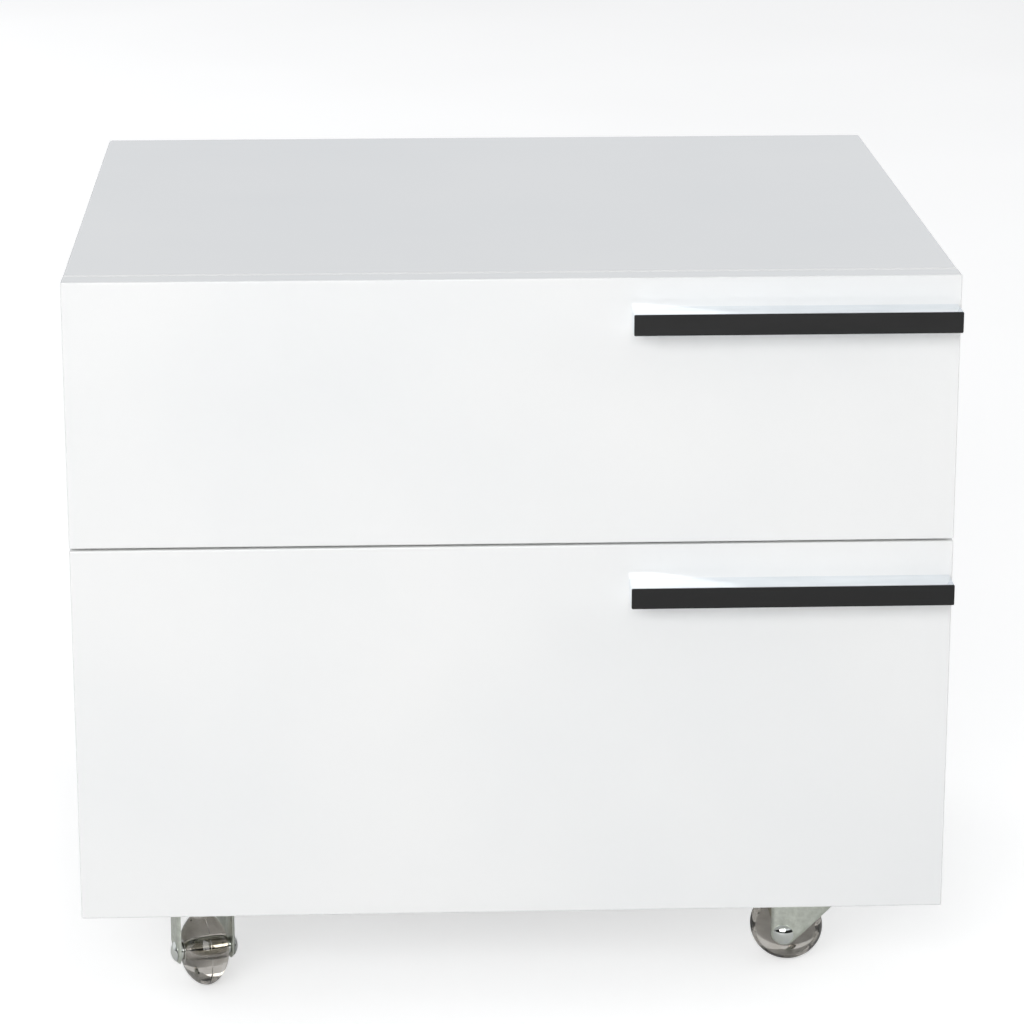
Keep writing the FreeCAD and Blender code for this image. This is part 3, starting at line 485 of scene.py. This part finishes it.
def fork_zinc(settings):
    # Zinc plated on pressed sheet and passivated: pale greenish grey, mottled, with a soft sheen.
    finish, tree, place = new_finish("passivated_zinc_on_pressed_sheet")
    if tree:
        mottle = cloud(tree, place, (3.2 * MM,) * 3, 5.0, 0.65)
        # The real spangle is finer than this and would not show.
        spangle = cloud(tree, place, (0.9 * MM,) * 3, 2.0)
        surface(tree, {
            "Base Color": blended(tree, mottle, settings.steel, settings.steel_shade),
            "Metallic": 1.0,
            "Roughness": between(tree, spangle, 0.3, 0.48),
            "Normal": relief(tree, mottle, 0.03 * MM, 1.0, relief(tree, spangle, 0.01 * MM)),
        })
    return finish


def black_strip(settings):
    # Black styrene strip drawn through a die and polished: deep gloss with faint lengthwise streaks.
    finish, tree, place = new_finish("polished_black_strip")
    if tree:
        streak = cloud(tree, place, (45 * MM, 1.1 * MM, 1.1 * MM), 3.0, 0.6)
        wipe = cloud(tree, place, (25 * MM, 6 * MM, 6 * MM))
        surface(tree, {
            "Base Color": blended(tree, streak, settings.black, settings.black_streak),
            "Roughness": between(tree, wipe, 0.12, 0.26),
            "IOR": 1.5,
            "Normal": relief(tree, streak, 0.004 * MM),
        })
    return finish


def clear_polyurethane(settings):
    # Polyurethane cast clear: smoky glass-like body with soft flow lines and a lightly scuffed skin.
    finish, tree, place = new_finish("clear_cast_polyurethane")
    if tree:
        flow = cloud(tree, place, (6 * MM, 6 * MM, 2.5 * MM), 2.0)
        scuff = cloud(tree, place, (1.6 * MM,) * 3, 4.0, 0.6)
        surface(tree, {
            "Base Color": blended(tree, flow, settings.rubber, settings.rubber_shade),
            "Roughness": between(tree, scuff, 0.02, 0.07),
            "IOR": 1.49,
            "Transmission Weight": 1.0,
            "Normal": relief(tree, flow, 0.02 * MM),
        })
    return finish


# ---------------------------------------------------------------- operators


class PEDESTAL_OT_boards(bpy.types.Operator):
    """Lacquer the case and the drawer fronts, and face the drawer boards"""

    bl_idname = "pedestal.boards"
    bl_label = "Boards"

    def execute(self, context):
        settings = context.scene.pedestal_boards
        panels = ("top_panel", "left_side_panel", "right_side_panel", "bottom_panel", "back_panel")
        fronts = tuple(f"{drawer}_drawer_front" for drawer in DRAWERS)
        coat(gloss_lacquer(settings), *panels, *fronts)
        boards = ("left_side", "right_side", "back", "bottom")
        coat(satin_foil(settings), *(f"{drawer}_drawer_{board}" for drawer in DRAWERS for board in boards))
        coat(beech_wood(settings), "carcass_dowels", *(f"{drawer}_drawer_dowels" for drawer in DRAWERS))
        return {"FINISHED"}


class PEDESTAL_OT_pads(bpy.types.Operator):
    """Make the clear bumper pads behind the drawer fronts"""

    bl_idname = "pedestal.pads"
    bl_label = "Bumper pads"

    def execute(self, context):
        pads = bmesh.new()
        for low, high in solids("bumper_pads"):
            radius, depth = (high.z - low.z) / 2, high.y - low.y
            dome = ((0, 0), (0, radius), (depth * 0.3, radius, radius), (depth, radius * 0.45), (depth, 0))
            pad = turned(dome, 32)
            middle = (low + high) / 2
            turn = Matrix.Rotation(math.pi, 4, "Z")
            pad.transform(Matrix.Translation((middle.x, high.y, middle.z)) @ turn)
            absorb(pads, pad)
        add_piece("domed_bumper_pads", pads, clear_pad_plastic(), "cabinet", ("bumper_pads",))
        return {"FINISHED"}


class PEDESTAL_OT_handles(bpy.types.Operator):
    """Make the two chrome pulls and finish their black strips"""

    bl_idname = "pedestal.handles"
    bl_label = "Handles"

    def execute(self, context):
        settings = context.scene.pedestal_handles
        for drawer in DRAWERS:
            node = f"{drawer}_handle"
            low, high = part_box(node)
            pull = bmesh.new()
            bmesh.ops.create_cube(pull, size=1)
            bmesh.ops.scale(pull, vec=high - low, verts=pull.verts)
            bmesh.ops.translate(pull, vec=(low + high) / 2, verts=pull.verts)
            cuts = (
                (Vector((low.x + settings.end, 0, 0)), (1, 0, 0)),
                (Vector((high.x - settings.end, 0, 0)), (1, 0, 0)),
                (Vector((0, low.y + settings.wall, 0)), (0, 1, 0)),
                (Vector((0, 0, high.z - settings.wall)), (0, 0, 1)),
            )
            for point, normal in cuts:
                geometry = pull.verts[:] + pull.edges[:] + pull.faces[:]
                bmesh.ops.bisect_plane(pull, geom=geometry, plane_co=point, plane_no=normal)

            def inside(face):
                spot = face.calc_center_median()
                return low.x + settings.end < spot.x < high.x - settings.end

            under = [
                f for f in pull.faces
                if inside(f) and f.normal.z < -0.5 and f.calc_center_median().y > low.y + settings.wall
            ]
            raised = bmesh.ops.extrude_face_region(pull, geom=under, use_keep_orig=False)["geom"]
            lifted = [v for v in raised if isinstance(v, bmesh.types.BMVert)]
            bmesh.ops.translate(pull, vec=(0, 0, high.z - settings.wall - low.z), verts=lifted)
            bmesh.ops.delete(pull, geom=[f for f in under if f.is_valid], context="FACES")
            at_back = [
                f for f in pull.faces
                if inside(f) and abs(f.calc_center_median().y - high.y) < 0.01 * MM
                and f.calc_center_median().z < high.z - settings.wall
            ]
            bmesh.ops.delete(pull, geom=at_back, context="FACES")
            bmesh.ops.remove_doubles(pull, verts=pull.verts, dist=0.005 * MM)
            bmesh.ops.recalc_face_normals(pull, faces=pull.faces)
            bmesh.ops.dissolve_limit(pull, angle_limit=math.radians(1), verts=pull.verts, edges=pull.edges)
            free = [e for e in sharp_edges(pull, 30) if any(v.co.y < high.y - 0.01 * MM for v in e.verts)]
            soften(pull, free, settings.soft_edge, 3)

            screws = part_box(f"{drawer}_handle_screws")
            head = (screws[1].z - screws[0].z) / 2
            reach = high.y - low.y - settings.wall
            for x in (screws[0].x + head, screws[1].x - head):
                middle = Vector((x, high.y - reach / 2, (screws[0].z + screws[1].z) / 2))
                bmesh.ops.create_cone(
                    pull, cap_ends=True, segments=40, radius1=settings.boss / 2, radius2=settings.boss / 2,
                    depth=reach, matrix=Matrix.Translation(middle) @ Matrix.Rotation(math.pi / 2, 4, "X"),
                )
            add_piece(
                f"{drawer}_chrome_pull", pull, handle_chrome(settings), f"{drawer}_drawer",
                (node,),
            )
            coat(black_strip(settings), f"{drawer}_handle_insert")
        return {"FINISHED"}


class PEDESTAL_OT_runners(bpy.types.Operator):
    """Finish the runner rails, the ball cages and the handle screws"""

    bl_idname = "pedestal.runners"
    bl_label = "Runners"

    def execute(self, context):
        settings = context.scene.pedestal_runners
        kinds = ("cabinet", "drawer")
        rails = [f"{d}_{side}_{kind}_rail" for d in DRAWERS for side in SIDES for kind in kinds]
        coat(rolled_zinc(settings), *rails, *(f"{d}_middle_rails" for d in DRAWERS))
        cages = [f"{d}_{place}_ball_cages" for d in DRAWERS for place in ("outer", "inner")]
        coat(cage_steel(settings), *cages)
        coat(screw_zinc(settings), "cabinet_screws", *(f"{d}_drawer_rail_screws" for d in DRAWERS))
        coat(screw_zinc(settings), *(f"{d}_handle_screws" for d in DRAWERS))
        return {"FINISHED"}


class PEDESTAL_OT_caster_steel(bpy.types.Operator):
    """Make the forks with tumbled edges, and finish the plates, kingpins and balls"""

    bl_idname = "pedestal.caster_steel"
    bl_label = "Caster forks and plates"

    def execute(self, context):
        settings = context.scene.pedestal_casters
        steel = fork_zinc(settings)
        for corner in CORNERS:
            fork = merged_copy(f"{corner}_fork")
            bmesh.ops.dissolve_limit(
                fork, angle_limit=math.radians(0.5), verts=fork.verts, edges=fork.edges, delimit=set()
            )
            soften(fork, sharp_edges(fork, 50), settings.fork_edge, 2)
            add_piece(
                f"{corner}_pressed_fork", fork, steel, f"{corner}_caster", (f"{corner}_fork",)
            )
            coat(steel, f"{corner}_caster_plate")
        coat(steel, "caster_kingpins")
        coat(ball_steel(context.scene.pedestal_runners), "caster_bearing_balls")
        return {"FINISHED"}


class PEDESTAL_OT_axles(bpy.types.Operator):
    """Make the domed rivets and their bright sleeves"""

    bl_idname = "pedestal.axles"
    bl_label = "Caster axles"

    def execute(self, context):
        settings = context.scene.pedestal_casters
        half, head, dome, shank = 14 * MM, 4.9 * MM, 2.2 * MM, 2.5 * MM
        rise = dome - settings.rivet_rim
        bulge = (head ** 2 + rise ** 2) / (2 * rise)
        rivet = (
            (-half - dome, 0, bulge), (-half - settings.rivet_rim, head), (-half, head), (-half, shank),
            (half, shank), (half, head), (half + settings.rivet_rim, head, bulge), (half + dome, 0),
        )
        end, inner, outer, chamfer = 12.3 * MM, 2.55 * MM, 4 * MM, 0.3 * MM
        sleeve = (
            (-end, inner), (-end, outer - chamfer), (chamfer - end, outer),
            (end - chamfer, outer), (end, outer - chamfer), (end, inner),
        )
        for corner in CORNERS:
            axle = turned(rivet, settings.around)
            absorb(axle, turned(sleeve, settings.around, closed=True))
            axle.transform(wheel_place(corner))
            add_piece(
                f"{corner}_domed_axle", axle, rivet_chrome(settings), f"{corner}_caster",
                (f"{corner}_axle",),
            )
        return {"FINISHED"}


class PEDESTAL_OT_wheels(bpy.types.Operator):
    """Make the clear wheels with their moulding seam and pits"""

    bl_idname = "pedestal.wheels"
    bl_label = "Caster wheels"

    def execute(self, context):
        settings = context.scene.pedestal_casters
        half, hub, bore, chamfer = 10.5 * MM, 6.8 * MM, 4.02 * MM, 0.4 * MM
        flank, tread, radius = 15.9 * MM, 7.8 * MM, 17.5 * MM
        edge, seam, crest = 4.5 * MM, settings.seam_width / 2, radius - settings.seam_height
        shoulder = crest - tread + math.sqrt(tread ** 2 - edge ** 2)
        outline = (
            (-half, bore + chamfer), (-half, hub, flank), (-edge, shoulder, tread), (-seam, crest),
            (-seam / 2, radius), (seam / 2, radius), (seam, crest, tread), (edge, shoulder, flank),
            (half, hub), (half, bore + chamfer), (half - chamfer, bore), (chamfer - half, bore),
        )
        for corner in CORNERS:
            wheel = turned(outline, settings.around, closed=True)
            for side in (-1, 1):
                for i in range(settings.marks):
                    angle = math.tau * (i + 0.25 * side) / settings.marks
                    spot = settings.mark_radius * Vector((math.cos(angle), 0, math.sin(angle)))
                    flank_faces = [f for f in wheel.faces if f.normal.y * side > 0.2]
                    pit = min(flank_faces, key=lambda f: math.dist(f.calc_center_median().xz, spot.xz))
                    bmesh.ops.inset_individual(wheel, faces=[pit], thickness=0.12 * MM, depth=0)
                    bmesh.ops.translate(wheel, vec=-settings.mark_depth * pit.normal, verts=pit.verts[:])
            wheel.transform(wheel_place(corner))
            add_piece(
                f"{corner}_clear_wheel", wheel, clear_polyurethane(settings), f"{corner}_wheel",
                (f"{corner}_wheel",), 50,
            )
        return {"FINISHED"}


class PEDESTAL_OT_stage(bpy.types.Operator):
    """Set the pale floor, the soft light and the camera"""

    bl_idname = "pedestal.stage"
    bl_label = "Stage"

    def execute(self, context):
        scene, settings = context.scene, context.scene.pedestal_stage
        low, high = START_BOX
        ground = bmesh.new()
        bmesh.ops.create_circle(ground, cap_ends=True, segments=96, radius=9)
        bmesh.ops.translate(ground, vec=(0, 0, low.z - 0.02 * MM), verts=ground.verts)
        data = bpy.data.meshes.new("pale_floor")
        ground.to_mesh(data)
        ground.free()
        floor = bpy.data.objects.new("pale_floor", data)
        scene.collection.objects.link(floor)
        finish, tree, place = new_finish("matt_paper_sweep")
        fibre = cloud(tree, place, (0.4, 0.4, 0.4))
        paper = add_node(tree, "ShaderNodeBsdfPrincipled", {}, {
            "Base Color": blended(tree, fibre, settings.floor, linear("#E5E5E5")),
            "Roughness": between(tree, fibre, 0.7, 0.8),
            "Specular IOR Level": 0.2,
        })
        seen = add_node(tree, "ShaderNodeLightPath", {}, {}).outputs["Is Camera Ray"]
        glow = add_node(tree, "ShaderNodeMath", {"operation": "MULTIPLY"}, {0: seen, 1: settings.floor_glow})
        glow = add_node(tree, "ShaderNodeEmission", {}, {"Strength": glow.outputs[0]})
        lit = add_node(tree, "ShaderNodeAddShader", {}, {0: paper.outputs[0], 1: glow.outputs[0]})
        add_node(tree, "ShaderNodeOutputMaterial", {}, {"Surface": lit.outputs[0]})
        data.materials.append(finish)

        world = bpy.data.worlds.new("soft_room")
        scene.world = world
        world.use_nodes = True
        tree = world.node_tree
        tree.nodes.clear()
        ray = add_node(tree, "ShaderNodeLightPath", {}, {})
        way = add_node(tree, "ShaderNodeTexCoord", {}, {}).outputs["Generated"]
        way = add_node(tree, "ShaderNodeSeparateXYZ", {}, {"Vector": way})
        # In the gloss the room is pale all round, with a dim strip in front, below the softbox.
        rise = add_node(
            tree, "ShaderNodeMapRange", {"interpolation_type": "SMOOTHSTEP"},
            {"Value": way.outputs["Z"], "From Min": 0.3, "From Max": 0.42, "To Min": 0.0, "To Max": 1.0},
        )
        side = add_node(
            tree, "ShaderNodeMapRange", {"interpolation_type": "SMOOTHSTEP"},
            {"Value": way.outputs["Y"], "From Min": -0.35, "From Max": 0.25, "To Min": 0.0, "To Max": 1.0},
        )
        open_room = add_node(
            tree, "ShaderNodeMath", {"operation": "MAXIMUM"}, {0: rise.outputs[0], 1: side.outputs[0]}
        )
        glossy = add_node(
            tree, "ShaderNodeMix", {"data_type": "RGBA"},
            {0: open_room.outputs[0], 6: (0.03, 0.03, 0.03, 1), 7: (0.78, 0.8, 0.83, 1)},
        )
        seen = add_node(tree, "ShaderNodeBackground", {}, {"Color": (1, 1, 1, 1), "Strength": 1.02})
        soft = add_node(
            tree, "ShaderNodeBackground", {}, {"Color": (0.97, 0.985, 1, 1), "Strength": settings.room}
        )
        shine = add_node(tree, "ShaderNodeBackground", {}, {"Color": glossy.outputs[2], "Strength": 1.0})
        spread = add_node(
            tree, "ShaderNodeMixShader", {},
            {0: ray.outputs["Is Diffuse Ray"], 1: shine.outputs[0], 2: soft.outputs[0]},
        )
        whole = add_node(
            tree, "ShaderNodeMixShader", {},
            {0: ray.outputs["Is Camera Ray"], 1: spread.outputs[0], 2: seen.outputs[0]},
        )
        add_node(tree, "ShaderNodeOutputWorld", {}, {"Surface": whole.outputs[0]})

        aim = (low + high) / 2
        boxes = (
            ("front_softbox", (-0.9, -2.8, 1.35), 2.4, 1.4, settings.front_power),
            ("top_softbox", (0.2, 0.1, 2.4), 1.8, 1.8, settings.top_power),
            ("right_softbox", (2.5, -0.4, 1.3), 1.6, 1.4, settings.side_power),
            ("rear_softbox", (-1.7, 2.6, 1.5), 1.6, 1.4, settings.side_power),
        )
        for name, spot, wide, tall, power in boxes:
            lamp = bpy.data.lights.new(name, "AREA")
            lamp.shape, lamp.size, lamp.size_y, lamp.energy = "RECTANGLE", wide, tall, power
            box = bpy.data.objects.new(name, lamp)
            scene.collection.objects.link(box)
            box.location = spot
            box.rotation_euler = (Vector(spot) - aim).to_track_quat("Z", "Y").to_euler()
            box.visible_camera = False
            # Only the front softbox is mirrored, or the others would burn out the glossy top from some sides.
            box.visible_glossy = name == "front_softbox"

        lens = bpy.data.cameras.new("studio_camera")
        lens.sensor_width, lens.lens = 36, settings.lens / MM
        lens.clip_start, lens.clip_end = 0.05, 60
        camera = bpy.data.objects.new("studio_camera", lens)
        scene.collection.objects.link(camera)
        camera.location = settings.camera
        camera.rotation_euler = (math.pi / 2 - settings.tilt, 0, -settings.turn)
        scene.camera = camera
        scene.view_settings.view_transform = "Standard"
        scene.view_settings.look = "None"
        return {"FINISHED"}


class PEDESTAL_PT_maker(bpy.types.Panel):
    """Lists the makers of the pedestal and their settings"""

    bl_idname = "PEDESTAL_PT_maker"
    bl_label = "Rolling pedestal"
    bl_space_type = "VIEW_3D"
    bl_region_type = "UI"
    bl_category = "Pedestal"

    def draw(self, context):
        for maker in MAKERS:
            self.layout.operator(maker.bl_idname)
        for name, group in SETTINGS.items():
            column = self.layout.column(align=True)
            for key in group.__annotations__:
                column.prop(getattr(context.scene, name), key)


SETTINGS = {
    "pedestal_boards": BoardSettings,
    "pedestal_handles": HandleSettings,
    "pedestal_runners": RunnerSettings,
    "pedestal_casters": CasterSettings,
    "pedestal_stage": StageSettings,
}
MAKERS = (
    PEDESTAL_OT_boards,
    PEDESTAL_OT_pads,
    PEDESTAL_OT_handles,
    PEDESTAL_OT_runners,
    PEDESTAL_OT_caster_steel,
    PEDESTAL_OT_axles,
    PEDESTAL_OT_wheels,
    PEDESTAL_OT_stage,
)
CLASSES = (*SETTINGS.values(), *MAKERS, PEDESTAL_PT_maker)


def register():
    for part in CLASSES:
        bpy.utils.register_class(part)
    for name, group in SETTINGS.items():
        setattr(bpy.types.Scene, name, PointerProperty(type=group))


def unregister():
    for name in SETTINGS:
        delattr(bpy.types.Scene, name)
    for part in reversed(CLASSES):
        bpy.utils.unregister_class(part)


def main():
    register()
    bpy.ops.pedestal.boards()
    bpy.ops.pedestal.pads()
    bpy.ops.pedestal.handles()
    bpy.ops.pedestal.runners()
    bpy.ops.pedestal.caster_steel()
    bpy.ops.pedestal.axles()
    bpy.ops.pedestal.wheels()
    bpy.ops.pedestal.stage()


if __name__ == "__main__":
    main()
